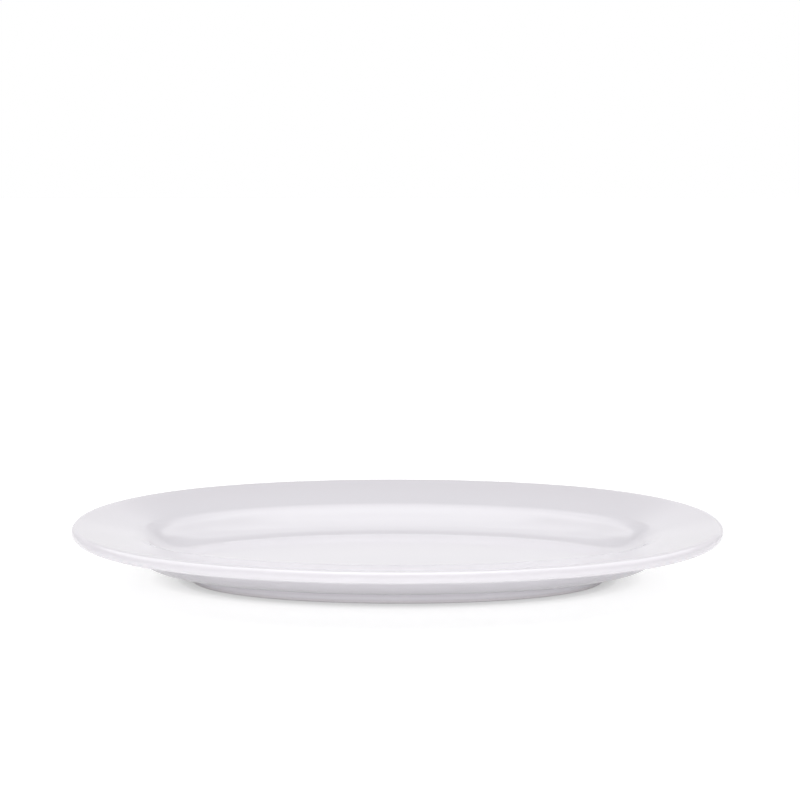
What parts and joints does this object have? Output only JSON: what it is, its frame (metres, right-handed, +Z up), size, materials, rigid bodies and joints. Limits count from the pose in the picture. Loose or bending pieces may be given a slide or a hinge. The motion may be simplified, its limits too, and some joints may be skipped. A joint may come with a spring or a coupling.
{
  "type": "serving platter",
  "caption": "Oval white porcelain serving platter with a wide gently rising flange, rounded lip, shallow curved well and a recessed foot ring.",
  "frame": {"origin": "centre of the platter, on the table that the foot ring stands on", "axes": "+Z up, +X along the platter's length, +Y across it"},
  "size_m": [0.36, 0.24, 0.0315],
  "materials": {
    "biscuit": "bare fired porcelain, matte",
    "glaze": "clear gloss glaze over white porcelain",
    "base_glaze": "clear gloss glaze over white porcelain"
  },
  "bodies": {
    "root": {"porcelain_body": "biscuit", "glaze_coat": "glaze", "base_glaze": "base_glaze"}
  },
  "joints": []
}
